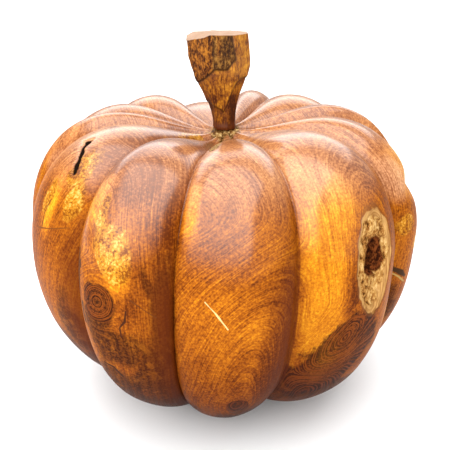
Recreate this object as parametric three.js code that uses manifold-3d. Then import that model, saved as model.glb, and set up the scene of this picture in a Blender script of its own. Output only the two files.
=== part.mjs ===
// A pumpkin carved from one block of hardwood, with a separate carved stem let into its crown.
// Millimetres, +Z up. The origin is the centre of the flat spot it stands on, and the lobe
// at azimuth 0 faces -Y. Azimuths are in degrees and turn from -Y towards +X.
import * as THREE from "three";
import { mergeVertices } from "three/addons/utils/BufferGeometryUtils.js";
import Module from "manifold-3d";

// Overall form of the body. WAIST_Z is the height of its widest girth.
const RADIUS = 150;
const WAIST_Z = 138;
const RISE = 122.6; // from the waist to the lobes' highest level, before the crown is dished
const FOOT_CUT = 4; // how much of the rounded underside is cut away to make the flat spot
const UPPER_POWER = 0.905; // 1 is an ellipse, less is fuller
const LOWER_POWER = 0.83;
const DISH_DEPTH = 47.6;
const DISH_RADIUS = 81;
const GROOVE = 0.094; // depth of the grooves, as a part of the local radius
const LOBE_POWER = 0.62; // roundness of a lobe's cross-section
const CROWN_FADE = 12; // radius inside which the grooves run out at the crown
const FOOT_FADE = 45; // the same under the foot

// One row a lobe: azimuth of its crest, azimuth of the groove after it, then how far it
// reaches out, how high it rises, how lean its foot is, and how many degrees its foot leans.
const LOBES = [
  { crest: 8, groove: 22.5, reach: 1, rise: 0.955, foot: 0.94, lean: -9 },
  { crest: 46, groove: 62.5, reach: 0.983, rise: 0.97, foot: 0.925, lean: 0 },
  { crest: 74, groove: 93, reach: 1, rise: 0.98, foot: 1.06, lean: 2 },
  { crest: 98, groove: 120, reach: 0.985, rise: 1, foot: 1, lean: 0 },
  { crest: 137, groove: 155, reach: 0.97, rise: 0.987, foot: 1, lean: 0 },
  { crest: 165, groove: 177, reach: 1, rise: 0.97, foot: 1, lean: 0 },
  { crest: 191, groove: 206, reach: 0.974, rise: 0.875, foot: 1, lean: 0 },
  { crest: 223, groove: 237, reach: 1.008, rise: 0.968, foot: 1, lean: 0 },
  { crest: 249, groove: 264, reach: 1.028, rise: 0.96, foot: 1, lean: 0 },
  { crest: 271.5, groove: 281, reach: 1.03, rise: 0.97, foot: 1, lean: -1 },
  { crest: 298, groove: 317.5, reach: 1.03, rise: 0.958, foot: 1.12, lean: -1.5 },
  { crest: 327, groove: 348.5, reach: 1.055, rise: 0.935, foot: 1.045, lean: 1 },
];

// Local swellings and flats left by the carving tool.
const SWELLINGS = [
  { azimuth: 77, z: 179, wide: 10, tall: 9, out: -4.5 },
  { azimuth: 76, z: 152, wide: 10, tall: 18, out: 1.5 },
];

// Where the mesh has its columns across each lobe (-1 and 1 are its grooves), and its rows.
const COLUMNS = [-1, -0.93, -0.78, -0.56, -0.28, 0, 0.28, 0.56, 0.78, 0.93];
const ROWS = 42;

// Natural hollow on the second lobe: a ragged trough with a deeper pocket in it.
const HOLLOW = {
  centre: [100, -104.5, 150],
  azimuth: 44,
  trough: { wide: 23, deep: 14, tall: 41, out: 6 },
  pocket: { wide: 10.5, deep: 24, tall: 13.5, out: -6, up: 3 },
};

// Open drying crack near the crown of one lobe: points along its mouth, and its half-width.
const CRACK = [
  { at: [-93.7, -55.9, 220.7], half: 1.5 },
  { at: [-99.5, -60, 216.9], half: 1.7 },
  { at: [-100, -67.6, 213.1], half: 1.3 },
  { at: [-100.8, -74.3, 208.4], half: 1.3 },
  { at: [-103.3, -78.9, 203.1], half: 0.8 },
];
const CRACK_INTO = [1.9, 1.9, -3.4]; // from the mouth of the crack to its floor

// Joint between body and stem.
const SEAT_RADIUS = 10.5;
const SEAT_DEPTH = 0.9;
const SOCKET_RADIUS = 6.3;
const SOCKET_DEPTH = 22;
const GAP = 0.3;

// Stem: height above the crown, then how far it reaches to each side of the axis.
const STEM_LEVELS = [
  { up: -0.6, left: 8.6, right: 8.2, front: 7.5, back: 7.5 },
  { up: 1.5, left: 9.4, right: 8.4, front: 8.2, back: 8 },
  { up: 8, left: 10.4, right: 9.1, front: 8.6, back: 8.4 },
  { up: 14, left: 11.8, right: 9.7, front: 9, back: 9 },
  { up: 20, left: 13.9, right: 10.6, front: 9.8, back: 9.8 },
  { up: 27, left: 16.6, right: 12.4, front: 11, back: 11 },
  { up: 34, left: 20, right: 14.6, front: 12.2, back: 12.4 },
  { up: 41, left: 23.3, right: 16.9, front: 13.2, back: 13.6 },
  { up: 48, left: 25.8, right: 18.6, front: 13.8, back: 14.2 },
  { up: 55, left: 27.1, right: 18.7, front: 13.9, back: 14.4 },
  { up: 64, left: 28.3, right: 17.9, front: 13.4, back: 14 },
  { up: 71.5, left: 28.6, right: 16.9, front: 13, back: 13.4 },
];
// Knife facets round the stem: azimuth they face, and their distance from the axis.
const STEM_FACETS = [
  [-66, 0.93],
  [-14, 0.86],
  [38, 0.88],
  [82, 0.94],
  [127, 0.9],
  [170, 0.95],
  [212, 0.88],
  [256, 0.93],
];
const STEM_TWIST = 14; // degrees the facets turn from the foot of the stem to its top
const STEM_SIDES = 40;
const STEM_CHAMFER = { normal: [-0.36, -0.24, 0.9], through: [-13, -10, 71.3] };

const wasm = await Module();
wasm.setup();
const { Manifold } = wasm;

const rad = THREE.MathUtils.degToRad;

// Crest, grooves and position across the lobe for one azimuth step of the mesh.
function lobeColumn(index, across) {
  const lobe = LOBES[index];
  const count = LOBES.length;
  const before = index === 0 ? LOBES[count - 1].groove - 360 : LOBES[index - 1].groove;
  const span = across < 0 ? lobe.crest - before : lobe.groove - lobe.crest;
  const next = LOBES[(index + (across < 0 ? count - 1 : 1)) % count];
  const bulge = Math.pow(Math.max(0, 1 - across * across), LOBE_POWER);
  const blend = (key) => {
    const shared = (lobe[key] + next[key]) / 2;
    return shared + (lobe[key] - shared) * bulge;
  };
  return {
    azimuth: lobe.crest + across * span,
    bulge,
    reach: blend("reach"),
    rise: blend("rise"),
    foot: blend("foot"),
    lean: blend("lean"),
  };
}

// Point on the body's skin. The tilt runs from 90 at the crown to -90 under the foot.
function skinPoint(column, tilt) {
  const angle = rad(tilt);
  const upper = tilt >= 0;
  const power = upper ? UPPER_POWER : LOWER_POWER * column.foot;
  const flat = Math.max(Math.cos(angle), 1e-9);
  const steep = Math.abs(Math.sin(angle)) ** power;
  const plain = RADIUS * flat ** power;
  const fade = 1 - Math.exp(-((plain / (upper ? CROWN_FADE : FOOT_FADE)) ** 2));
  const groove = 1 - GROOVE * fade * (1 - column.bulge);
  let radius = plain * column.reach * groove;
  let z;
  if (upper) {
    const girth = RADIUS * column.reach * (1 - GROOVE * (1 - column.bulge));
    const dish = Math.exp(-((radius / DISH_RADIUS) ** 2)) - Math.exp(-((girth / DISH_RADIUS) ** 2));
    const height = RISE * (1 + (column.rise - 1) * fade);
    z = WAIST_Z + height * steep * groove - DISH_DEPTH * dish;
  } else {
    z = WAIST_Z - (WAIST_Z + FOOT_CUT) * steep * groove;
  }
  for (const swell of SWELLINGS) {
    const aside = (column.azimuth - swell.azimuth) / swell.wide;
    const above = (z - swell.z) / swell.tall;
    radius += swell.out * Math.exp(-aside * aside - above * above);
  }
  const turn = rad(column.azimuth + (column.lean * (1 - Math.sin(angle))) / 2);
  return [radius * Math.sin(turn), -radius * Math.cos(turn), z];
}

// Closed solid through rings of points, lowest ring first, each anticlockwise from above.
function solidFromRings(rings, bottom, top) {
  const sides = rings[0].length;
  const vertices = rings.flat();
  vertices.push(bottom, top);
  const bottomIndex = vertices.length - 2;
  const topIndex = vertices.length - 1;
  const faces = [];
  for (let i = 0; i < sides; i++) {
    const j = (i + 1) % sides;
    faces.push([bottomIndex, j, i]);
    for (let k = 0; k + 1 < rings.length; k++) {
      const low = k * sides;
      const high = low + sides;
      faces.push([low + i, low + j, high + j], [low + i, high + j, high + i]);
    }
    const last = (rings.length - 1) * sides;
    faces.push([last + i, last + j, topIndex]);
  }
  return new Manifold(
    new wasm.Mesh({
      numProp: 3,
      vertProperties: new Float32Array(vertices.flat()),
      triVerts: new Uint32Array(faces.flat()),
    }),
  );
}

// Ellipsoid for carving: wide across, deep along the azimuth it faces, tall upwards.
function hollowTool(centre, azimuth, size) {
  const turn = rad(azimuth);
  const x = centre[0] + size.out * Math.sin(turn);
  const y = centre[1] - size.out * Math.cos(turn);
  const z = centre[2] + (size.up ?? 0);
  return Manifold.sphere(1, 28)
    .scale([size.wide, size.deep, size.tall])
    .rotate([0, 0, azimuth])
    .translate([x, y, z]);
}

function crackTool() {
  const knots = CRACK.map(({ at, half }) => {
    const mouth = Manifold.sphere(half, 8);
    const outer = mouth.translate(at.map((v, i) => v - CRACK_INTO[i] * 0.4));
    const inner = mouth.scale(0.6).translate(at.map((v, i) => v + CRACK_INTO[i]));
    return [outer, inner];
  });
  const pieces = [];
  for (let i = 0; i + 1 < knots.length; i++) {
    pieces.push(Manifold.hull([...knots[i], ...knots[i + 1]]));
  }
  return Manifold.union(pieces);
}

function cylinder(radius, low, high) {
  return Manifold.cylinder(high - low, radius, radius, 40).translate([0, 0, low]);
}

const columns = LOBES.flatMap((_, index) => COLUMNS.map((across) => lobeColumn(index, across)));
const crownZ = skinPoint(columns[0], 90)[2];
const seatZ = crownZ - SEAT_DEPTH;

function bodySolid() {
  const rings = [];
  for (let row = 1; row < ROWS; row++) {
    const tilt = -90 + (180 * row) / ROWS;
    rings.push(columns.map((column) => skinPoint(column, tilt)));
  }
  return solidFromRings(rings, [0, 0, -FOOT_CUT], [0, 0, crownZ])
    .trimByPlane([0, 0, 1], 0)
    .subtract(cylinder(SEAT_RADIUS, seatZ, crownZ + 40))
    .subtract(cylinder(SOCKET_RADIUS, seatZ - SOCKET_DEPTH, seatZ + 1))
    .subtract(hollowTool(HOLLOW.centre, HOLLOW.azimuth, HOLLOW.trough))
    .subtract(hollowTool(HOLLOW.centre, HOLLOW.azimuth, HOLLOW.pocket))
    .subtract(crackTool());
}

// Outline of the faceted stem at one level, anticlockwise from above.
function stemRing(level) {
  const part = (level.up - STEM_LEVELS[0].up) / (STEM_LEVELS.at(-1).up - STEM_LEVELS[0].up);
  const outline = [];
  for (let i = 0; i < STEM_SIDES; i++) {
    const azimuth = (360 * i) / STEM_SIDES;
    let reach = 1.04;
    for (const [faces, distance] of STEM_FACETS) {
      const off = Math.cos(rad(azimuth - faces - STEM_TWIST * part));
      if (off > 0.1) reach = Math.min(reach, distance / off);
    }
    outline.push([reach * Math.sin(rad(azimuth)), -reach * Math.cos(rad(azimuth))]);
  }
  const farthest = (pick) => Math.max(...outline.map(pick));
  const right = level.right / farthest(([x]) => x);
  const left = level.left / farthest(([x]) => -x);
  const back = level.back / farthest(([, y]) => y);
  const front = level.front / farthest(([, y]) => -y);
  return outline.map(([x, y]) => [
    x * (x > 0 ? right : left),
    y * (y > 0 ? back : front),
    crownZ + level.up,
  ]);
}

function stemSolid() {
  const low = STEM_LEVELS[0].up + crownZ;
  const high = STEM_LEVELS.at(-1).up + crownZ;
  const shaft = solidFromRings(STEM_LEVELS.map(stemRing), [0, 0, low], [-5, 0, high]);
  const normal = new THREE.Vector3(...STEM_CHAMFER.normal).normalize();
  const through = new THREE.Vector3(...STEM_CHAMFER.through).add(new THREE.Vector3(0, 0, crownZ));
  const tenonLow = seatZ - SOCKET_DEPTH + 0.5;
  return shaft
    .trimByPlane(normal.clone().negate().toArray(), -through.dot(normal))
    .add(cylinder(SOCKET_RADIUS - GAP, tenonLow, crownZ + 1));
}

function meshFrom(name, solid, colour) {
  const raw = solid.getMesh();
  let geometry = new THREE.BufferGeometry();
  geometry.setAttribute("position", new THREE.BufferAttribute(raw.vertProperties, 3));
  geometry.setIndex(new THREE.BufferAttribute(raw.triVerts, 1));
  geometry = mergeVertices(geometry, 1e-4);
  geometry.computeVertexNormals();
  const material = new THREE.MeshStandardMaterial({ color: colour, roughness: 0.35 });
  const mesh = new THREE.Mesh(geometry, material);
  mesh.name = name;
  return mesh;
}

const pumpkin = new THREE.Group();
pumpkin.name = "carved_pumpkin";
pumpkin.add(meshFrom("pumpkin_body", bodySolid(), 0xb5722c));
pumpkin.add(meshFrom("stem", stemSolid(), 0x9a5a24));

export default pumpkin;
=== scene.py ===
"""A pumpkin carved from one block of dark hardwood, with a separate faceted stem in its crown.

Shapes are worked out in millimetres and handed to Blender in metres. The origin is the centre
of the flat foot, +Z is up and azimuth 0 faces -Y, turning towards +X.
"""
import math

import bpy
import numpy as np
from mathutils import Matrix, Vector


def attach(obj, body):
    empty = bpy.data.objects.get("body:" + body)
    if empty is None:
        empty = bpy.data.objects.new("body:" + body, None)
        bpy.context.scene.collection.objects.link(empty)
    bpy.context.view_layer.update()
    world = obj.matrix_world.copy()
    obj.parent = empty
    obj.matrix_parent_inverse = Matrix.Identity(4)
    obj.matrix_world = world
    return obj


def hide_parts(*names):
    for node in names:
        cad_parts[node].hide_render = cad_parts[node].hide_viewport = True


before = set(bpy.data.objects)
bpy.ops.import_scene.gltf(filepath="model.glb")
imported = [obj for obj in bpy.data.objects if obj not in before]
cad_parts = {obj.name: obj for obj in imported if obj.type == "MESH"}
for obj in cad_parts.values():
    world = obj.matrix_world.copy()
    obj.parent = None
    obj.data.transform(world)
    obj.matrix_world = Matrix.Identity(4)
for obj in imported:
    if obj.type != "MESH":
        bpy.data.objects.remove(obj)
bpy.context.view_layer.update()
scene = bpy.context.scene

# Shape of the carved body

MM = 0.001
TO_MM = 1000.0
# a distance longer than any on the body, and what spot gives on the side that faces away
FAR = 1000.0
OUTSIDE = -999.0
# a point faces an azimuth where it lies this far from the axis on that side
FACING = 20.0
# radius and height of the waist, how far the skin would rise above it, and what the flat foot cuts off
RADIUS = 150.0
WAIST_Z = 138.0
RISE = 122.6
FOOT_CUT = 4.0
# how slowly the profile closes above and below the waist: smaller is fuller
UPPER_POWER = 0.905
LOWER_POWER = 0.83
# the sunken crown
DISH_DEPTH = 47.6
DISH_RADIUS = 81.0
# depth of a groove as a share of the radius, and how the flanks fall off from a lobe's crest
GROOVE = 0.094
LOBE_POWER = 0.62
# distances from the axis over which the grooves fade in, at the crown and under the foot
CROWN_FADE = 12.0
FOOT_FADE = 45.0

# crest azimuth, azimuth of the groove after it, reach, rise, leanness of the foot, lean in degrees
LOBES = np.array([
    (8, 22.5, 1.0, 0.955, 0.94, -9),
    (46, 62.5, 0.983, 0.97, 0.925, 0),
    (74, 93, 1.0, 0.98, 1.06, 2),
    (98, 120, 0.985, 1.0, 1, 0),
    (137, 155, 0.97, 0.987, 1, 0),
    (165, 177, 1.0, 0.97, 1, 0),
    (191, 206, 0.974, 0.875, 1, 0),
    (223, 237, 1.008, 0.968, 1, 0),
    (249, 264, 1.028, 0.96, 1, 0),
    (271.5, 281, 1.03, 0.97, 1, -1),
    (298, 317.5, 1.03, 0.958, 1.12, -1.5),
    (327, 348.5, 1.055, 0.935, 1.045, 1),
], float)
# the rows of the lobe in front and of its neighbour on the left
FRONT_LOBE = 0
LEFT_LOBE = 11
# azimuth, height, half-width in degrees, half-height and reach of each swelling or hollow of the skin
SWELLINGS = [(77, 179, 10, 9, -4.5), (76, 152, 10, 18, 1.5)]

# the natural hollow: where it is, half-width and half-height of its mouth, depth of its rim and floor
HOLLOW_AZIMUTH = 45.0
HOLLOW_Z = 147.0
HOLLOW_WIDE = 19.0
HOLLOW_TALL = 38.0
RIM_DEPTH = 1.0
FLOOR_DEPTH = 5.0
# the dark pit in its floor
PIT_WIDE = 10.0
PIT_TALL = 13.5
PIT_DEPTH = 19.0
# the crack near the crown on the far left, hooked at its upper end: points on it, then half-widths
CRACK = np.array([
    (-96.6, -56.4, 220.2), (-99.4, -60.0, 218.0), (-100.4, -65.0, 214.9),
    (-100.6, -69.5, 211.8), (-103.0, -76.0, 206.2), (-103.3, -78.9, 203.1)])
CRACK_HALF = [3.6, 2.5, 2.5, 2.0, 2.1, 1.1]
CRACK_DEPTH = 2.0
# loose fibres caught in the groove that runs from the stem to the left of the front lobe
DEBRIS = np.array([(-2.5, -10.0, 214.0), (-5.0, -45.0, 219.0), (-8.5, -80.0, 222.0)])
# they lie above this height, and reach this far round the stem
DEBRIS_Z = 190.0
DEBRIS_REACH = 17.0

# large primes that scatter the points of the noise lattice, and the bits of a number that are kept
PRIMES = (374761393, 668265263, 1274126177, 974711)
LOW_BITS = 0xFFFFFF


def smooth(low, high, value):
    """0 at low, 1 at high, with soft ends."""
    t = np.clip((value - low) / (high - low), 0.0, 1.0)
    return t * t * (3 - 2 * t)


def hashed(cells, seed):
    """Repeatable random numbers in 0..1 for whole-number lattice points."""
    n = seed * PRIMES[3]
    for axis in range(3):
        n = n + cells[..., axis] * PRIMES[axis]
    n = (n ^ (n >> 13)) * PRIMES[2]
    n = n ^ (n >> 16)
    return (n & LOW_BITS) / float(LOW_BITS)


def noise(points, cell, seed=0):
    """Smooth value noise in -1..1 with the given cell size (one size, or one for each axis)."""
    p = points / np.asarray(cell, float)
    base = np.floor(p).astype(np.int64)
    f = p - base
    f = f * f * (3 - 2 * f)
    total = 0.0
    for corner in range(8):
        step = np.array([corner & 1, corner >> 1 & 1, corner >> 2 & 1])
        weight = np.prod(np.where(step == 1, f, 1 - f), axis=-1)
        total = total + weight * hashed(base + step, seed)
    return total * 2 - 1


def lobe_at(azimuth):
    """The lobe at an azimuth, its nearer neighbour, how far out it bulges (0 to 1),
    and whether the azimuth is on its right flank.
    """
    count = len(LOBES)
    start = np.roll(LOBES[:, 1], 1)
    start[0] -= 360
    turned = np.mod(azimuth - start[0], 360) + start[0]
    lobe = np.clip(np.searchsorted(LOBES[:, 1], turned, side="left"), 0, count - 1)
    crest = LOBES[lobe, 0]
    side = np.where(turned < crest, crest - start[lobe], LOBES[lobe, 1] - crest)
    across = (turned - crest) / side
    bulge = np.clip(1 - across ** 2, 0, 1) ** LOBE_POWER
    neighbour = np.where(across < 0, (lobe - 1) % count, (lobe + 1) % count)
    return lobe, neighbour, bulge, across > 0


def skin(azimuth, tilt):
    """Points on the body for azimuths and meridian tilts (90 at the crown, -90 under the foot)."""
    azimuth, tilt = np.broadcast_arrays(azimuth, tilt)
    lobe, neighbour, bulge, _ = lobe_at(azimuth)

    def blend(column):
        own = LOBES[lobe, column]
        shared = (own + LOBES[neighbour, column]) / 2
        return shared + (own - shared) * bulge

    reach, rise, foot, lean = (blend(c) for c in (2, 3, 4, 5))
    angle = np.radians(tilt)
    upper = tilt >= 0
    power = np.where(upper, UPPER_POWER, LOWER_POWER * foot)
    plain = RADIUS * np.clip(np.cos(angle), 1e-9, 1) ** power
    steep = np.abs(np.sin(angle)) ** power
    fade = 1 - np.exp(-(plain / np.where(upper, CROWN_FADE, FOOT_FADE)) ** 2)
    groove = 1 - GROOVE * fade * (1 - bulge)
    radius = plain * reach * groove
    girth = RADIUS * reach * (1 - GROOVE * (1 - bulge))
    dish = np.exp(-(radius / DISH_RADIUS) ** 2) - np.exp(-(girth / DISH_RADIUS) ** 2)
    over = WAIST_Z + RISE * (1 + (rise - 1) * fade) * steep * groove - DISH_DEPTH * dish
    under = WAIST_Z - (WAIST_Z + FOOT_CUT) * steep * groove
    z = np.where(upper, over, under)
    for at, height, wide, tall, out in SWELLINGS:
        aside = (azimuth - at) / wide
        radius = radius + out * np.exp(-aside ** 2 - ((z - height) / tall) ** 2)
    turn = np.radians(azimuth + lean * (1 - np.sin(angle)) / 2)
    return np.stack([radius * np.sin(turn), -radius * np.cos(turn), np.maximum(z, 0.0)], -1)


def spaced(low, high, density):
    """Sample positions from low to high, closer together where density is high."""
    fine = np.linspace(low, high, 4000)
    rate = density(fine)
    total = np.concatenate([[0], np.cumsum((rate[1:] + rate[:-1]) / 2 * np.diff(fine))])
    count = max(4, int(math.ceil(total[-1])))
    return np.interp(np.linspace(0, total[-1], count + 1), total, fine)


def within(value, span):
    return (value > span[0]) & (value < span[1])


def column_density(azimuth):
    """Columns for each degree of azimuth: more of them across the hollow and the crack."""
    return 0.9 + 1.5 * within(azimuth, (34, 57)) + 1.6 * within(azimuth, (298, 310))


def row_density(tilt):
    """Rows for each degree of tilt: more of them at the height of the hollow and of the crack."""
    return 0.76 + 0.95 * within(tilt, (-14, 27)) + 1.3 * within(tilt, (27, 46))


def lobe_density(low, high):
    """The density of columns over the lobe from one groove to the next, raised at both grooves."""
    extra, near = 1.7, 1.2

    def density(azimuth):
        at_grooves = np.exp(-((azimuth - low) / near) ** 2) + np.exp(-((azimuth - high) / near) ** 2)
        return column_density(azimuth % 360) + extra * at_grooves

    return density


def body_grid():
    """Points on the body in rows and columns, how much painted shade falls on them near the grooves, and
    their lobes.
    """
    azimuths = []
    low = LOBES[-1, 1] - 360
    for high in LOBES[:, 1]:
        azimuths.append(spaced(low, high, lobe_density(low, high))[:-1])
        low = high
    azimuths = np.concatenate(azimuths)
    tilts = spaced(-90, 90, row_density)[1:-1]
    lobe, _, bulge, right_flank = lobe_at(azimuths)
    # painted shade near the grooves, full on the right flanks and weaker on the left flanks
    shade_near_grooves = (1 - bulge) * np.where(right_flank, 1.0, 0.3)
    shape = (len(tilts), len(azimuths))
    points = skin(azimuths[None, :], tilts[:, None])
    return points, np.broadcast_to(shade_near_grooves, shape), np.broadcast_to(lobe, shape)


def to_line(points, line):
    """Distance of each point from an open chain of points, and how far along it that is."""
    best = np.full(points.shape[:-1], np.inf)
    along = np.zeros(points.shape[:-1])
    for i in range(len(line) - 1):
        a, d = line[i], line[i + 1] - line[i]
        t = np.clip(((points - a) @ d) / (d @ d), 0, 1)
        gap = np.linalg.norm(points - a - t[..., None] * d, axis=-1)
        along = np.where(gap < best, (i + t) / (len(line) - 1), along)
        best = np.minimum(best, gap)
    return best, along


def local(points, azimuth, z):
    """Sideways and upward distances from a place on the skin, and whether a point is on that side."""
    turn = math.radians(azimuth)
    side = points[..., 0] * math.cos(turn) + points[..., 1] * math.sin(turn)
    front = points[..., 0] * math.sin(turn) - points[..., 1] * math.cos(turn)
    return side, points[..., 2] - z, front > FACING


def spot(points, azimuth, z, wide, tall, tilt=0.0):
    """1 at the middle of an oval place on the skin, 0 at its edge and below 0 outside."""
    side, up, front = local(points, azimuth, z)
    c, s = math.cos(math.radians(tilt)), math.sin(math.radians(tilt))
    a, b = side * c + up * s, up * c - side * s
    return np.where(front, 1 - np.sqrt((a / wide) ** 2 + (b / tall) ** 2), OUTSIDE)


def most(points, places):
    """The highest value of spot over several places."""
    return np.max([spot(points, *place) for place in places], axis=0)


# azimuth, height, half-width, half-height, tilt of each patch of yellow sapwood
SAPWOOD = [
    (332.5, 169, 14, 24, 27), (327.5, 192, 5, 12, 8), (309, 205, 10, 13, 0),
    (312, 188, 8, 14, 0), (302, 186, 6, 12, 0), (67, 156, 9, 9, 0), (74, 138, 7, 9, 0),
    (118, 170, 16, 34, 10), (208, 110, 20, 26, -20), (262, 90, 14, 22, 0)]
# the same for dark heartwood and stains
DARK = [
    (340, 80, 15, 50, -12), (321, 145, 4, 24, 0), (330, 66, 26, 22, -25), (341.5, 149, 3.5, 18, 20),
    (333, 98, 24, 20, 0), (327, 122, 14, 30, 0), (344.5, 125, 8, 56, 0), (65, 92, 12, 20, 12),
    (312, 80, 14, 50, 8), (300, 60, 26, 30, 0), (8, 30, 26, 18, 0), (335, 40, 40, 24, 0),
    (38, 40, 40, 16, 0), (190, 60, 26, 16, 0)]
# the same for the ringed wood of the knots
BURLS = [
    (328.5, 134, 14, 13.5, 0), (35, 80, 46, 27, 50), (3.9, 50, 8, 8, 0),
    (150, 90, 20, 24, 0), (232, 150, 13, 15, 0)]
# the same for the brightest, most golden wood, partly golden wood and partly a painted highlight on the
# lobes to the right of the front
GOLD = [
    (28, 150, 20, 74, 4), (27, 105, 18, 44, 10), (34, 188, 16, 26, -12), (334, 158, 11, 22, 10),
    (324, 195, 12, 16, 0), (76, 192, 26, 26, 0), (304, 180, 9, 24, 0), (56, 92, 10, 20, 0),
    (110, 120, 24, 50, 10), (175, 150, 28, 50, 0), (245, 130, 24, 52, 0)]
# the same on the front lobe alone
FRONT_GOLD = [(350.5, 192, 8, 20, 0)]
# the same for places painted a little browner, partly browner wood and partly painted shade
SHADE = [
    (13, 100, 16, 76, -6), (331, 108, 20, 26, 0), (336, 133, 11, 20, 0), (345, 190, 12, 30, 0),
    (35.5, 134, 13, 24, 0), (297, 165, 14, 60, 0), (333, 207, 24, 18, 0), (318, 216, 34, 16, 0)]
# the same for places painted pale as a painted sheen of glare on the lacquer
SHEEN_PLACES = [(67, 193, 20, 25, 0), (283, 198, 20, 20, 0)]
# azimuth, height, stretch sideways and upwards, tilt, spacing and start of each set of rings round a knot
KNOTS = [
    (328.5, 134, 1.0, 1.1, 0, 1.25, 108), (35, 98, 1.5, 0.95, 50, 1.3, -5),
    (150, 92, 1.0, 1.1, 0, 1.1, 40), (232, 150, 1.0, 1.1, 0, 1.3, 60)]
# the small knot at the foot of the front lobe, and the slant of the arcs above it
FRONT_KNOT_Z = 53.0
FRONT_KNOT_ACROSS = 9.0
ARC_SLANT = 0.19
# the pith of the log, behind and to the right of the middle: a point on it and its direction
PITH_POINT = np.array([70.0, 120.0, 0.0])
PITH_ALONG = np.array([0.12, -0.08, 0.99])


def soft_least(values, softness):
    """The least of several fields, with the corners between them rounded."""
    low = np.min(values, axis=0)
    return low - softness * np.log(sum(np.exp(-(v - low) / softness) for v in values))


def growth(points, lobe):
    """A field in millimetres whose even steps are the growth rings.

    They come from the whole log, but run straight up the left lobe, arc over the small knot of the
    front lobe, and bend round the hollow and each larger knot.
    """
    rel = points - PITH_POINT
    log = np.linalg.norm(rel - (rel @ PITH_ALONG)[..., None] * PITH_ALONG, axis=-1)
    # nested arcs that lean to the right
    radius = np.hypot(points[..., 0], points[..., 1])
    across = np.arctan2(points[..., 0], -points[..., 1]) * (50 + radius * 2 / 3)
    over = np.where(points[..., 2] > WAIST_Z, np.maximum(RADIUS - radius, 0) * 0.7, 0)
    above = points[..., 2] - FRONT_KNOT_Z + over
    flatter = 1 + ((across + 40) / 110) ** 2
    arch = 0.00162 * np.abs(above) ** 2.2 / flatter + 8 * (1 - np.exp(-np.abs(above) / 9))
    arcs = np.hypot(across - FRONT_KNOT_ACROSS - ARC_SLANT * above, arch)
    side, up, front = local(points, HOLLOW_AZIMUTH, HOLLOW_Z)
    fields = [
        log,
        np.where(lobe == LEFT_LOBE, 60 - across, arcs),
        np.where(front, np.hypot(side, up * 0.38), 300.0)]
    unruly = noise(points, 8, 6) * 1.5
    for azimuth, z, wide, tall, tilt, spacing, start in KNOTS:
        away = np.minimum((1 - spot(points, azimuth, z, wide, tall, tilt)) * spacing, 150.0) + unruly
        fields.append(start + away + 5 * (away / 34) ** 3)
    warp = noise(points, 60, 3) * 5 + noise(points, 21, 4) * 0.9
    return soft_least(fields, 6.0) + warp


def carve(points):
    """Adds what the tool and the tree left: the hollow, the crack and a slight unevenness."""
    outward = points * np.array([1, 1, 0])
    outward /= np.maximum(np.linalg.norm(outward, axis=-1, keepdims=True), 1e-6)
    # the flat foot isn't touched
    standing = points[..., 2:3] > 0.5
    lift = noise(points, 38, 11) * 0.5 + noise(points, 16, 12) * 0.18
    side, up, front = local(points, HOLLOW_AZIMUTH, HOLLOW_Z)
    ragged = noise(points, 9, 21) * 0.07 + noise(points, 4, 22) * 0.05
    # 1 along the edge of the mouth, less within it, and the same for the pit
    trough = np.hypot((side + 0.5) / HOLLOW_WIDE, (up - 1) / HOLLOW_TALL) + ragged
    inside = smooth(0.92, 0.76, trough) * front
    splinters = noise(points, (3, 3, 9), 23) * 1.6 + noise(points, (2, 2, 4), 24) * 1.3
    pit = np.hypot((side - 3) / PIT_WIDE, (up - 3) / PIT_TALL) + ragged * 1.8
    deep = np.sqrt(np.clip(1 - np.clip(pit, 0, 1) ** 2, 0, 1)) * front
    lump = np.exp(-((side - 1) / 8) ** 2 - ((up - 26) / 6) ** 2) * 4.0
    rim = smooth(1.02, 0.96, trough) * front
    cut = RIM_DEPTH * rim + inside * (FLOOR_DEPTH + splinters - lump) + PIT_DEPTH * deep
    gap, along = to_line(points, CRACK)
    half = np.interp(along, np.linspace(0, 1, len(CRACK)), CRACK_HALF)
    half = half * (1 + noise(points, 3, 31) * 0.35)
    crack = smooth(1.2, 0.6, gap / half)
    rough = smooth(0.0, 0.3, most(points, SAPWOOD[:3])) * noise(points, 5, 41) * 0.5
    moved = points + outward * ((lift + rough) - cut)[..., None] * standing
    moved[..., 2] -= crack * CRACK_DEPTH
    moved -= outward * (crack * CRACK_DEPTH)[..., None]
    fields = {
        "raw": np.where(front, 1.03 - trough, -1.0),
        "pit": np.where(front, 1.05 - pit, -1.0),
        "crack": crack,
        "lump": noise(points, 4, 25) * inside,
    }
    return moved, fields


def mesh_object(name, vertices, faces, attributes):
    """A smooth Blender object from points in millimetres, with a named value for each point."""
    mesh = bpy.data.meshes.new(name)
    mesh.from_pydata((vertices * MM).tolist(), [], faces)
    mesh.validate()
    for key, values in attributes.items():
        mesh.attributes.new(key, "FLOAT", "POINT").data.foreach_set("value", values.astype(np.float32))
    mesh.shade_smooth()
    piece = bpy.data.objects.new(name, mesh)
    scene.collection.objects.link(piece)
    return piece


def ring_faces(rows, columns, bottom, top):
    """Faces of a closed skin of rings, with a fan at each end."""
    faces = []
    for i in range(columns):
        j = (i + 1) % columns
        faces.append((bottom, j, i))
        faces.append(((rows - 1) * columns + i, (rows - 1) * columns + j, top))
        for k in range(rows - 1):
            low, high = k * columns, (k + 1) * columns
            faces.append((low + i, low + j, high + j, high + i))
    return faces


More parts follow.
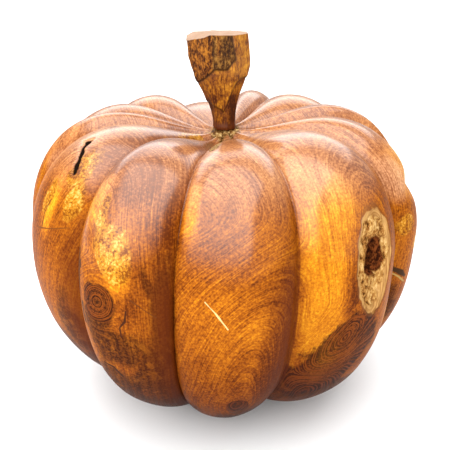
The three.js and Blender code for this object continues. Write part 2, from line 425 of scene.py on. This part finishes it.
def make_body():
    """The carved body, and the height of the middle of its crown."""
    grid, groove_shade, lobe = body_grid()
    lobe = np.concatenate([lobe.ravel(), [-1, -1]])
    rows, columns = groove_shade.shape
    crown = skin(0.0, 90.0)
    points = np.concatenate([grid.reshape(-1, 3), [[0, 0, 0]], [crown]])
    moved, fields = carve(points)
    fields["grain"] = growth(points, lobe)
    fields["sap"] = most(points, SAPWOOD)
    fields["dark"] = most(points, DARK)
    # golden wood, partly a painted highlight
    fields["gold"] = np.where(lobe == FRONT_LOBE, most(points, FRONT_GOLD), most(points, GOLD))
    # places painted browner, partly as painted shade
    fields["shade"] = most(points, SHADE)
    fields["burl"] = most(points, BURLS)
    # places of painted glare sheen on the lacquer
    fields["pale"] = most(points, SHEEN_PLACES)
    # painted shade near the grooves
    fields["groove_shade"] = np.concatenate([groove_shade.ravel(), [0, 0]])
    from_axis = np.hypot(points[:, 0], points[:, 1])
    gap, along = to_line(points, DEBRIS)
    strewn = np.maximum(1 - from_axis / DEBRIS_REACH, 0.75 - gap / (10 - 4 * along))
    fields["crown"] = np.where(points[:, 2] > DEBRIS_Z, strewn, -1)
    last = rows * columns
    body = mesh_object("carved_body", moved, ring_faces(rows, columns, last, last + 1), fields)
    return body, crown[2]


# Shape of the stem

# height above the crown, then how far it reaches left, right, front and back
STEM_LEVELS = np.array([
    (-0.6, 8.6, 8.2, 7.5, 7.5), (1.5, 9.4, 8.4, 8.2, 8.0), (8, 10.4, 9.1, 8.6, 8.4),
    (14, 11.8, 9.7, 9.0, 9.0), (20, 13.9, 10.6, 9.8, 9.8), (27, 16.6, 12.4, 11.0, 11.0),
    (34, 20.0, 14.6, 12.2, 12.4), (41, 23.3, 16.9, 13.2, 13.6), (48, 25.8, 18.6, 13.8, 14.2),
    (55, 27.1, 18.7, 13.9, 14.4), (64, 28.3, 17.9, 13.4, 14.0), (71.5, 28.6, 16.9, 13.0, 13.4)])
# azimuth of each flat facet, and its distance from the axis as a share of the reach
STEM_FACETS = [(-66, 0.93), (-14, 0.86), (38, 0.88), (82, 0.94), (127, 0.9), (170, 0.95),
               (212, 0.88), (256, 0.93)]
STEM_CORNERS = 1.04
STEM_TWIST = 14.0
# the slanted cut across the front left of the sawn top
CHAMFER_NORMAL = np.array([-0.36, -0.24, 0.9])
CHAMFER_POINT = np.array([-13.0, -10.0, 71.3])
STEM_FOOT = -0.6
STEM_TOP = 71.5
STEM_SIDES = 180
STEM_RINGS = 120
# shrinking rings that close the sawn top
TOP_RINGS = (0.96, 0.9, 0.8, 0.65, 0.5, 0.35, 0.2)


def stem_ring(up):
    """The faceted outline of the stem at one height."""
    part = (up - STEM_FOOT) / (STEM_TOP - STEM_FOOT)
    azimuth = np.arange(STEM_SIDES) * 360.0 / STEM_SIDES
    reach = np.full(STEM_SIDES, STEM_CORNERS)
    for faces, distance in STEM_FACETS:
        off = np.cos(np.radians(azimuth - faces - STEM_TWIST * part))
        reach = np.where(off > 0.1, np.minimum(reach, distance / np.maximum(off, 0.1)), reach)
    x = reach * np.sin(np.radians(azimuth))
    y = -reach * np.cos(np.radians(azimuth))
    heights, *reaches = STEM_LEVELS.T
    left, right, front, back = (np.interp(up, heights, column) for column in reaches)
    x = np.where(x > 0, x * right / x.max(), x * left / -x.min())
    y = np.where(y > 0, y * back / y.max(), y * front / -y.min())
    return np.stack([x, y, np.full(STEM_SIDES, up)], -1)


def make_stem(crown_z):
    """The stem, standing in the crown at the given height."""
    rings = [stem_ring(up) for up in np.linspace(STEM_FOOT, STEM_TOP, STEM_RINGS)]
    middle = np.array([-5.0, 0.0, STEM_TOP])
    edge = rings[-1]
    for shrink in TOP_RINGS:
        rings.append(middle + (edge - middle) * shrink)
    points = np.concatenate([np.concatenate(rings), [[0, 0, STEM_FOOT]], [middle]])
    plane = CHAMFER_NORMAL @ CHAMFER_POINT
    ceiling = plane - points[:, 0] * CHAMFER_NORMAL[0] - points[:, 1] * CHAMFER_NORMAL[1]
    ceiling = ceiling / CHAMFER_NORMAL[2]
    # the edge of the sawn top and all within it, but not the middle of the foot
    on_top = np.arange(len(points)) >= (STEM_RINGS - 1) * STEM_SIDES
    on_top[-2] = False
    top = (on_top | (points[:, 2] > ceiling)).astype(float)
    points[:, 2] = np.minimum(points[:, 2], ceiling)
    x, y, z = points.T
    # the rough bark lies above a ledge on the upper left of the front, and round the back
    ledge = np.interp(x, [-26, -18.8, -8, 2.2, 6.7], [34, 37, 46, 47, 53.5])
    right_edge = np.interp(z, [46, 54, 62, 72], [4, 7.5, 6.5, 5])
    front_patch = np.minimum((right_edge - x) / 5, (z - ledge) / 6)
    back_patch = np.minimum((z - 30) / 10, (x + 4) / 8)
    patch = np.where(y < 3, front_patch, back_patch) + noise(points, 6, 51) * 0.12 - top * 2
    bark = smooth(-0.06, 0.08, patch)
    # chopped facets round the lower front, with a sharp edge above them that dips to a V
    chop_line = np.interp(x, [-12, -8, -1, 8, 12], [21, 18.5, 14, 36, 40])
    chopped = np.where(y < 6, (chop_line - z) * 0.6 + noise(points, 7, 57), -9.0)
    outward = points * np.array([1, 1, 0])
    outward /= np.maximum(np.linalg.norm(outward, axis=1, keepdims=True), 1e-6)
    ridges = noise(points, (2.2, 2.2, 12), 52) * 0.9 + noise(points, (4, 4, 5), 53) * 0.7
    lift = bark * (0.2 + 0.6 * ridges) + noise(points, 12, 54) * 0.45 * (1 - top)
    lift = lift - smooth(-0.6, 0.6, chopped) * 0.9
    points = points + outward * (lift * smooth(-0.6, 6, z) * (1 - top))[:, None]
    points[:, 2] += top * noise(points, 5, 55) * 0.25
    # a painted shadow line along the edge of the bark and along the chopped edge
    ledge_shadow = np.maximum(np.exp(-(patch / 0.2) ** 2), 0.8 * np.exp(-(chopped / 0.8) ** 2))
    fields = {
        "bark": bark,
        "strip": smooth(-4, -10, x + noise(points, (4, 4, 12), 58) * 5),
        "chopped": smooth(-0.5, 0.5, chopped),
        "edge": ledge_shadow * (1 - top),
        "ridges": ridges,
        "top": top,
        # painted shade at the foot of the stem, where it meets the crown
        "stem_base_shade": 1 - smooth(0.5, 9, z),
        "golden": smooth(14, 34, z) * smooth(-20, 4, x),
        "grain": np.hypot(x + 26, y * 0.8 + 4) + noise(points, 16, 56) * 3,
    }
    points = points + np.array([0, 0, crown_z])
    last = len(rings) * STEM_SIDES
    return mesh_object("carved_stem", points, ring_faces(len(rings), STEM_SIDES, last, last + 1), fields)


# Materials

class Nodes:
    """Shorthand for building a material's node tree."""

    def __init__(self, name):
        self.material = bpy.data.materials.new(name)
        self.material.use_nodes = True
        self.tree = self.material.node_tree
        self.tree.nodes.clear()

    def add(self, kind, inputs=None, **settings):
        node = self.tree.nodes.new(kind)
        for key, value in settings.items():
            setattr(node, key, value)
        for key, value in (inputs or {}).items():
            self.feed(node.inputs[key], value)
        return node

    def feed(self, socket, value):
        if isinstance(value, bpy.types.NodeSocket):
            self.tree.links.new(value, socket)
        elif socket.type == "RGBA":
            socket.default_value = (*value, 1)
        else:
            socket.default_value = value

    def attribute(self, name):
        return self.add("ShaderNodeAttribute", attribute_name=name).outputs["Fac"]

    def math(self, operation, a, b=0.0, c=0.0, clamp=False):
        node = self.add("ShaderNodeMath", operation=operation, use_clamp=clamp)
        for socket, value in zip(node.inputs, (a, b, c)):
            self.feed(socket, value)
        return node.outputs[0]

    def step(self, value, low, high, to_low=0.0, to_high=1.0):
        node = self.add("ShaderNodeMapRange", {0: value, 1: low, 2: high, 3: to_low, 4: to_high},
                        interpolation_type="SMOOTHSTEP")
        return node.outputs[0]

    def mix(self, fac, a, b, blend="MIX"):
        node = self.add("ShaderNodeMix", data_type="RGBA", blend_type=blend)
        # a colour mix has its colours in the sockets 6 and 7 and gives one in 2
        node.clamp_factor = True
        self.feed(node.inputs[0], fac)
        self.feed(node.inputs[6], a)
        self.feed(node.inputs[7], b)
        return node.outputs[2]

    def noise(self, vector, scale, detail=3.0, roughness=0.55, distortion=0.0):
        return self.add("ShaderNodeTexNoise", {
            "Vector": vector, "Scale": scale, "Detail": detail,
            "Roughness": roughness, "Distortion": distortion}).outputs["Fac"]

    def combine(self, x, y, z):
        return self.add("ShaderNodeCombineXYZ", {0: x, 1: y, 2: z}).outputs[0]

    def weigh(self, tone, field, amount):
        """Adds to a tone a field that lies round a half."""
        return self.math("MULTIPLY_ADD", self.math("SUBTRACT", field, 0.5), amount, tone)

    def vectors(self, operation, a, b, output=0):
        return self.add("ShaderNodeVectorMath", {0: a, 1: b}, operation=operation).outputs[output]

    def stretch(self, vector, scale):
        return self.vectors("MULTIPLY", vector, scale)

    def dot(self, vector, other):
        return self.vectors("DOT_PRODUCT", vector, other, "Value")

    def mark(self, place, ragged, azimuth, chain, half):
        """1 on a chain of (sideways, height) points in millimetres, on the side that faces an azimuth.

        The field ragged, which lies round a half, makes the line uneven.
        """
        turn = math.radians(azimuth)
        side = self.dot(place, (math.cos(turn) * TO_MM, math.sin(turn) * TO_MM, 0))
        front = self.dot(place, (math.sin(turn) * TO_MM, -math.cos(turn) * TO_MM, 0))
        up = self.dot(place, (0, 0, TO_MM))
        flat = self.combine(side, up, 0.0)
        nearest = FAR
        for (x0, z0), (x1, z1) in zip(chain[:-1], chain[1:]):
            run, rise = x1 - x0, z1 - z0
            length2 = run ** 2 + rise ** 2
            rel = self.vectors("SUBTRACT", flat, (x0, z0, 0))
            part = self.dot(rel, (run / length2, rise / length2, 0))
            part = self.math("MINIMUM", self.math("MAXIMUM", part, 0.0), 1.0)
            foot = self.combine(self.math("MULTIPLY", part, run), self.math("MULTIPLY", part, rise), 0.0)
            gap = self.vectors("DISTANCE", rel, foot, "Value")
            nearest = self.math("MINIMUM", gap, nearest)
        nearest = self.math("MULTIPLY_ADD", self.math("SUBTRACT", ragged, 0.5), half * 4, nearest)
        line = self.step(nearest, half * 1.2, half * 0.5)
        return self.math("MULTIPLY", line, self.step(front, FACING - 5.0, FACING))

    def ramp(self, fac, stops):
        node = self.add("ShaderNodeValToRGB", {0: fac})
        ramp = node.color_ramp
        while len(ramp.elements) < len(stops):
            ramp.elements.new(0.5)
        for element, (position, colour) in zip(ramp.elements, stops):
            element.position = position
            element.color = (*colour, 1)
        return node.outputs[0]

    def surface(self, inputs, relief=None):
        """Ends the tree with a surface, bumped by a relief where one is given, and gives the material."""
        if relief is not None:
            bump = {"Strength": 0.5, "Distance": 0.0006, "Height": relief}
            inputs["Normal"] = self.add("ShaderNodeBump", bump).outputs[0]
        shader = self.add("ShaderNodeBsdfPrincipled", inputs)
        self.add("ShaderNodeOutputMaterial", {"Surface": shader.outputs[0]})
        return self.material


# thin lines on the skin: azimuth, chain of (sideways, height) points, half-width, colour
MARKS = [
    (0, [(-12.6, 141.5), (-6, 134), (1.8, 122.5)], 0.55, (0.80, 0.50, 0.20)),
    (336, [(0.5, 132), (-1, 124), (-4.8, 119), (-4.6, 111)], 0.6, (0.05, 0.014, 0.005)),
    (336, [(-23.6, 84), (-16, 82), (-11.5, 74)], 0.8, (0.035, 0.012, 0.005)),
    (322, [(0, 158), (0.5, 154)], 1.4, (0.012, 0.006, 0.004)),
    (322, [(1, 128), (0.5, 120), (2, 114)], 1.3, (0.03, 0.010, 0.004)),
    (340, [(-7, 140), (2, 133), (8, 128)], 0.5, (0.10, 0.028, 0.006)),
    (307, [(-18, 163), (0, 167), (15, 171)], 0.5, (0.15, 0.045, 0.007)),
    (303, [(1.5, 184), (-1.5, 174), (-1, 166)], 0.6, (0.12, 0.032, 0.006)),
    (64.5, [(-10, 128), (0, 122), (12, 113)], 2.0, (0.045, 0.018, 0.005)),
    (64.5, [(-10, 124), (0, 118), (12, 108)], 0.7, (0.36, 0.22, 0.06))]


class CarvedWood(Nodes):
    """The lacquered wood of the body, laid on in layers. Each layer takes a colour and gives one."""

    def __init__(self, name):
        super().__init__(name)
        self.place = self.add("ShaderNodeTexCoord").outputs["Object"]
        xyz = self.add("ShaderNodeSeparateXYZ", {0: self.place}).outputs
        self.across = self.math("MULTIPLY", xyz[0], TO_MM)
        self.height = self.math("MULTIPLY", xyz[2], TO_MM)
        wobble = self.noise(self.place, 30, 3)
        self.grain = self.math("MULTIPLY_ADD", wobble, 1.6, self.attribute("grain"))
        self.rings = self.lines(0.50, 0.010, 3, 0.6)
        self.fibre = self.lines(1.4, 0.035, 3, 0.65)
        self.blotch = self.noise(self.place, 55, 5, 0.62)
        self.grit = self.noise(self.place, 620, 2, 0.6)
        self.splinter = self.noise(self.stretch(self.place, (1, 1, 0.45)), 460, 3, 0.75)
        self.fluff = self.noise(self.place, 430, 3, 0.7)
        self.speck = self.step(self.noise(self.place, 260, 3, 0.65), 0.60, 0.68)
        self.sap = self.patch("sap", 0.0, 0.22, 1.3)
        self.raw = self.patch("raw", 0.0, 0.035, 0.12)
        self.inner = self.patch("raw", 0.13, 0.19, 0.3)
        self.debris = self.patch("crown", 0.05, 0.3, 1.6)
        self.crack = self.step(self.attribute("crack"), 0.2, 0.5)

    def lines(self, pitch, drift, detail, roughness):
        """Noise drawn out along the grain, with the given pitch in lines per millimetre."""
        run = self.combine(
            self.math("MULTIPLY", self.grain, pitch),
            self.math("MULTIPLY", self.height, drift),
            self.math("MULTIPLY", self.across, drift))
        return self.noise(run, 1.0, detail, roughness)

    def patch(self, name, low, high, ragged):
        """1 inside the places of one kind and 0 outside, with a ragged edge."""
        return self.step(self.weigh(self.attribute(name), self.blotch, ragged), low, high)

    def plain(self):
        """The brown wood itself: more golden or browner in places, partly as painted highlight and
        painted shade, and paler towards the crown as a painted sheen.
        """
        # golden wood, with a painted highlight on the lobes to the right of the front
        gold = self.step(self.weigh(self.attribute("gold"), self.blotch, 0.3), -0.1, 0.6)
        tone = self.math("MULTIPLY_ADD", gold, 0.29, 0.35)
        # places painted browner, partly browner wood and partly painted shade
        tone = self.math("MULTIPLY_ADD", self.step(self.attribute("shade"), 0.0, 0.7), -0.16, tone)
        # a painted sheen: slightly paler towards the crown
        tone = self.math("ADD", self.step(self.height, 180.0, 218.0, 0.0, 0.02), tone)
        bands = self.lines(0.075, 0.004, 2, 0.5)
        cloud = self.noise(self.place, 13, 3, 0.55)
        weights = ((bands, 0.14), (self.rings, 0.36), (self.fibre, 0.76),
                   (cloud, 0.40), (self.blotch, 0.30), (self.grit, 0.75))
        for field, amount in weights:
            tone = self.weigh(tone, field, amount)
        brown = self.ramp(tone, [
            (0.08, (0.09, 0.018, 0.002)), (0.28, (0.240, 0.057, 0.004)),
            (0.48, (0.430, 0.125, 0.006)), (0.68, (0.620, 0.230, 0.009)), (0.88, (0.80, 0.39, 0.02))])
        # the pale colour of a painted sheen, used near the crown and on the sheen places
        pale = self.ramp(tone, [
            (0.2, (0.34, 0.13, 0.06)), (0.5, (0.64, 0.34, 0.18)), (0.8, (0.82, 0.54, 0.34))])
        # painted glare sheen on a few lobe tops, with the painted sheen near the crown
        glare_sheen = self.math("MULTIPLY", self.patch("pale", 0.0, 0.7, 0.6), 0.7)
        crown_sheen = self.step(self.height, 185.0, 215.0, 0.0, 0.4)
        return self.mix(self.math("MAXIMUM", glare_sheen, crown_sheen), brown, pale)

    def sapwood(self, colour):
        mottle = self.noise(self.place, 75, 5, 0.65, 1.0)
        yellow = self.ramp(self.weigh(self.weigh(mottle, self.fibre, 0.3), self.grit, 0.75), [
            (0.34, (0.16, 0.040, 0.003)), (0.47, (0.40, 0.145, 0.008)), (0.60, (0.57, 0.26, 0.020)),
            (0.76, (0.80, 0.48, 0.13))])
        yellow = self.mix(self.math("MULTIPLY", self.speck, 0.9), yellow, (0.12, 0.030, 0.005))
        return self.mix(self.math("MULTIPLY", self.sap, 0.88), colour, yellow)

    def heartwood(self, colour):
        """Dark wood, with flecks of brighter wood low on the body."""
        dark = self.patch("dark", -0.02, 0.45, 1.6)
        streak = self.step(self.weigh(self.rings, self.grit, 1.2), 0.35, 0.65)
        brown = self.mix(streak, (0.030, 0.007, 0.001), (0.115, 0.029, 0.003))
        fleck = self.step(self.noise(self.place, 120, 5, 0.7, 0.6), 0.53, 0.65, 0.0, 0.5)
        fleck = self.math("MULTIPLY", fleck, self.step(self.height, 125.0, 100.0))
        brown = self.mix(fleck, brown, (0.42, 0.13, 0.008))
        return self.mix(self.math("MULTIPLY", dark, 0.86), colour, brown)

    def knots(self, colour):
        """Rings of dark wood round each knot, and a dark outline."""
        burl = self.patch("burl", -0.06, 0.12, 1.1)
        ringed = self.weigh(self.lines(0.80, 0.0, 2, 0.6), self.blotch, 0.3)
        ringed = self.step(self.weigh(ringed, self.grit, 0.22), 0.46, 0.55)
        brown = self.mix(ringed, (0.018, 0.004, 0.001), (0.19, 0.042, 0.004))
        strength = self.step(self.attribute("burl"), -0.05, 0.9, 0.96, 0.8)
        colour = self.mix(self.math("MULTIPLY", burl, strength), colour, brown)
        outline = self.math("SUBTRACT", burl, self.patch("burl", 0.04, 0.16, 0.25), clamp=True)
        return self.mix(self.math("MULTIPLY", outline, 0.5), colour, (0.035, 0.008, 0.002))

    def shadows(self, colour):
        """Painted shade in the grooves, the pores, and painted shade that darkens the wood towards the
        foot.
        """
        # painted shade in the grooves, fading out towards the crown
        fade = self.step(self.height, 200.0, 130.0, 0.1, 1.0)
        groove_shade = self.math("MULTIPLY", self.step(self.attribute("groove_shade"), 0.02, 0.6), fade)
        colour = self.mix(self.math("MULTIPLY", groove_shade, 0.8), colour, (0.100, 0.017, 0.002))
        pore = self.step(self.lines(1.9, 0.35, 2, 0.5), 0.63, 0.72)
        colour = self.mix(self.math("MULTIPLY", pore, 0.38), colour, (0.11, 0.026, 0.004))
        # painted shade: darker and redder towards the foot
        shade_towards_foot = self.step(self.height, -15.0, 140.0, 0.125, 1.0)
        tint = self.combine(shade_towards_foot, self.math("POWER", shade_towards_foot, 1.2), shade_towards_foot)
        return self.mix(1.0, colour, tint, "MULTIPLY")

    def marks(self, colour):
        for azimuth, chain, half, mark_colour in MARKS:
            line = self.mark(self.place, self.blotch, azimuth, chain, half)
            colour = self.mix(line, colour, mark_colour)
        return colour

    def hollow(self, colour):
        """The pale rim, the splintered floor and the dark pit of the natural hollow."""
        rim = self.mix(self.step(self.fibre, 0.3, 0.65), (0.26, 0.11, 0.028), (0.54, 0.30, 0.10))
        lump = self.math("MULTIPLY_ADD", self.attribute("lump"), 0.10, self.splinter)
        floor_colour = self.ramp(lump, [
            (0.32, (0.05, 0.018, 0.004)), (0.42, (0.26, 0.10, 0.022)),
            (0.54, (0.50, 0.27, 0.075)), (0.70, (0.76, 0.51, 0.22))])
        colour = self.mix(self.raw, colour, self.mix(self.inner, rim, floor_colour))
        outline = self.step(self.attribute("raw"), -0.07, -0.01)
        outline = self.math("SUBTRACT", outline, self.raw, clamp=True)
        colour = self.mix(self.math("MULTIPLY", outline, 0.6), colour, (0.16, 0.05, 0.010))
        pit = self.step(self.weigh(self.attribute("pit"), self.splinter, 0.3), -0.14, -0.02)
        depth = self.step(self.splinter, 0.42, 0.62)
        return self.mix(pit, colour, self.mix(depth, (0.030, 0.007, 0.002), (0.20, 0.050, 0.011)))

    def loose(self, colour):
        """The loose fibres at the crown, and the inside of the crack, painted near-black as its shade."""
        straw = self.ramp(self.fluff, [
            (0.40, (0.04, 0.014, 0.003)), (0.51, (0.24, 0.115, 0.026)), (0.66, (0.70, 0.50, 0.21))])
        colour = self.mix(self.math("MULTIPLY", self.debris, 0.9), colour, straw)
        # the inside of the crack painted near-black as painted shade
        return self.mix(self.crack, colour, (0.010, 0.005, 0.003))

    def finished(self, colour):
        """The lacquer shines high on the lobes, away from grooves, bare wood and the far sides."""
        polished = self.math("MULTIPLY_ADD", self.attribute("groove_shade"), -45.0, self.height)
        widest = self.math("SUBTRACT", self.math("ABSOLUTE", self.across), 88.0)
        polished = self.math("MULTIPLY_ADD", self.math("MAXIMUM", widest, 0.0), -2.0, polished)
        bare = self.math("MAXIMUM", self.raw, self.crack)
        bare = self.math("MAXIMUM", bare, self.math("MULTIPLY", self.debris, 0.8))
        coat = self.math("SUBTRACT", self.step(polished, 148.0, 190.0, 0.0, 1.0), bare, clamp=True)
        roughness = self.math("MULTIPLY_ADD", bare, 0.45, self.step(self.fibre, 0.3, 0.7, 0.38, 0.5))
        fibres = self.math("MULTIPLY", self.fibre, 0.35)
        relief = self.math("MULTIPLY_ADD", self.splinter, self.math("MULTIPLY", self.inner, 5.0), fibres)
        relief = self.math("MULTIPLY_ADD", self.math("MULTIPLY", self.fluff, self.debris), 5.0, relief)
        relief = self.math("MULTIPLY_ADD", self.math("MULTIPLY", self.speck, self.sap), -0.8, relief)
        return self.surface({
            "Base Color": colour, "Roughness": roughness, "IOR": 1.5, "Specular IOR Level": 0.03,
            "Coat Weight": coat, "Coat Roughness": 0.22, "Coat IOR": 1.65}, relief)


def wood_material():
    n = CarvedWood("lacquered_wood")
    colour = n.plain()
    for layer in (n.sapwood, n.heartwood, n.knots, n.shadows, n.marks, n.hollow, n.loose):
        colour = layer(colour)
    return n.finished(colour)


def stem_material():
    n = Nodes("stem_wood")
    place = n.add("ShaderNodeTexCoord").outputs["Object"]
    xyz = n.add("ShaderNodeSeparateXYZ", {0: place}).outputs
    height = n.math("MULTIPLY", xyz[2], TO_MM)
    grain = n.attribute("grain")

    def lines(pitch, drift, detail):
        """Noise drawn out along the grain, with the given pitch in lines per millimetre."""
        run = n.combine(n.math("MULTIPLY", grain, pitch), n.math("MULTIPLY", height, drift), 0.0)
        return n.noise(run, 1.0, detail, 0.6)

    rings = lines(0.7, 0.02, 4)
    fibre = lines(2.4, 0.12, 3)
    cloud = n.noise(place, 70, 4, 0.6)
    grit = n.noise(n.stretch(place, (1, 1, 0.6)), 640, 3, 0.7)
    tone = 0.27
    for field, amount in ((rings, 0.7), (fibre, 1.0), (cloud, 1.3), (grit, 1.1)):
        tone = n.weigh(tone, field, amount)
    tone = n.math("MULTIPLY_ADD", n.attribute("golden"), 0.20, tone)
    tone = n.math("MULTIPLY_ADD", n.attribute("chopped"), -0.22, tone)
    wood = n.ramp(tone, [
        (0.08, (0.05, 0.010, 0.002)), (0.30, (0.17, 0.045, 0.005)),
        (0.52, (0.35, 0.125, 0.008)), (0.80, (0.58, 0.26, 0.018))])

    flakes = n.noise(n.stretch(place, (1, 1, 0.4)), 380, 4, 0.8)
    crust = n.math("MULTIPLY_ADD", grit, 0.6, n.math("SUBTRACT", flakes, 0.3))
    crust = n.math("MULTIPLY_ADD", n.attribute("ridges"), 0.09, crust)
    olive = n.ramp(crust, [
        (0.38, (0.018, 0.006, 0.002)), (0.50, (0.10, 0.038, 0.006)), (0.66, (0.28, 0.135, 0.026))])
    russet = n.ramp(crust, [
        (0.38, (0.025, 0.006, 0.001)), (0.50, (0.15, 0.042, 0.005)), (0.66, (0.42, 0.155, 0.015))])
    bark = n.attribute("bark")
    colour = n.mix(n.math("MULTIPLY", bark, 0.95), wood, n.mix(n.attribute("strip"), olive, russet))
    # the painted shadow line along the bark and chopped edges
    colour = n.mix(n.math("MULTIPLY", n.attribute("edge"), 0.9), colour, (0.028, 0.010, 0.003))
    top = n.step(n.attribute("top"), 0.4, 0.6)
    sawn = n.mix(n.noise(place, 150, 3, 0.6), (0.32, 0.18, 0.10), (0.54, 0.37, 0.27))
    colour = n.mix(top, colour, sawn)
    # painted shade at the foot of the stem
    colour = n.mix(n.math("MULTIPLY", n.attribute("stem_base_shade"), 0.7), colour, (0.11, 0.022, 0.003))

    dull = n.math("MAXIMUM", bark, top)
    relief = n.math("MULTIPLY_ADD", flakes, n.math("MULTIPLY_ADD", bark, 4.0, 0.3), fibre)
    return n.surface({
        "Base Color": colour, "Roughness": n.math("MULTIPLY_ADD", dull, 0.3, 0.42), "IOR": 1.5,
        "Specular IOR Level": 0.15, "Coat Weight": n.math("MULTIPLY_ADD", dull, -0.15, 0.15),
        "Coat Roughness": 0.3}, relief)


def floor_material():
    n = Nodes("pale_floor")
    return n.surface({"Base Color": (0.96, 0.96, 0.96), "Roughness": 0.9, "Specular IOR Level": 0.1})


body, crown_height = make_body()
body.data.materials.append(wood_material())
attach(body, "root")
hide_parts("pumpkin_body")

stem = make_stem(crown_height)
stem.data.materials.append(stem_material())
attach(stem, "root")
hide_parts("stem")

# Floor, light and camera

FLOOR_SIZE = 16.0
bpy.ops.mesh.primitive_plane_add(size=FLOOR_SIZE, location=(0, 0, 0))
floor = bpy.context.object
floor.name = "floor"
floor.data.materials.append(floor_material())


def aim_at(thing, place, aim):
    thing.location = place
    thing.rotation_euler = (Vector(aim) - Vector(place)).to_track_quat("-Z", "Y").to_euler()


def area_light(name, place, aim, size, power):
    """A rectangular softbox of the given width, height and power in watts."""
    data = bpy.data.lights.new(name, "AREA")
    data.shape = "RECTANGLE"
    data.size, data.size_y = size
    data.energy = power
    lamp = bpy.data.objects.new(name, data)
    scene.collection.objects.link(lamp)
    aim_at(lamp, place, aim)


area_light("front_softbox", (-0.65, -2.0, 1.28), (0.0, 0.0, 1.0), (3.6, 2.2), 72)
area_light("top_softbox", (-0.2, -0.5, 2.5), (0.0, 0.0, 0.1), (3.4, 2.6), 78)
area_light("side_softbox", (-2.4, -0.3, 1.45), (0.0, 0.0, 0.2), (2.4, 1.9), 12)
area_light("rim_softbox", (0.0, 2.6, 1.5), (0.0, 0.0, 0.2), (3.4, 1.0), 13)
area_light("back_softbox", (0.0, 3.2, 2.4), (0.0, 2.6, 0.0), (6.0, 3.0), 115)

WORLD_STRENGTH = 0.50
world = bpy.data.worlds.new("studio")
scene.world = world
world.use_nodes = True
background = world.node_tree.nodes["Background"]
background.inputs["Color"].default_value = (1, 1, 1, 1)
background.inputs["Strength"].default_value = WORLD_STRENGTH
scene.view_settings.view_transform = "Standard"

# the viewing angle of the photograph: about 22 degrees above level
CAMERA_PLACE = (0.0, -0.5543, 0.3596)
CAMERA_AIM = (0.0, 0.0, 0.133)
LENS_MM = 58.75
SENSOR_MM = 36.0
camera_data = bpy.data.cameras.new("camera")
camera_data.sensor_width = SENSOR_MM
camera_data.lens = LENS_MM
camera = bpy.data.objects.new("camera", camera_data)
scene.collection.objects.link(camera)
aim_at(camera, CAMERA_PLACE, CAMERA_AIM)
scene.camera = camera
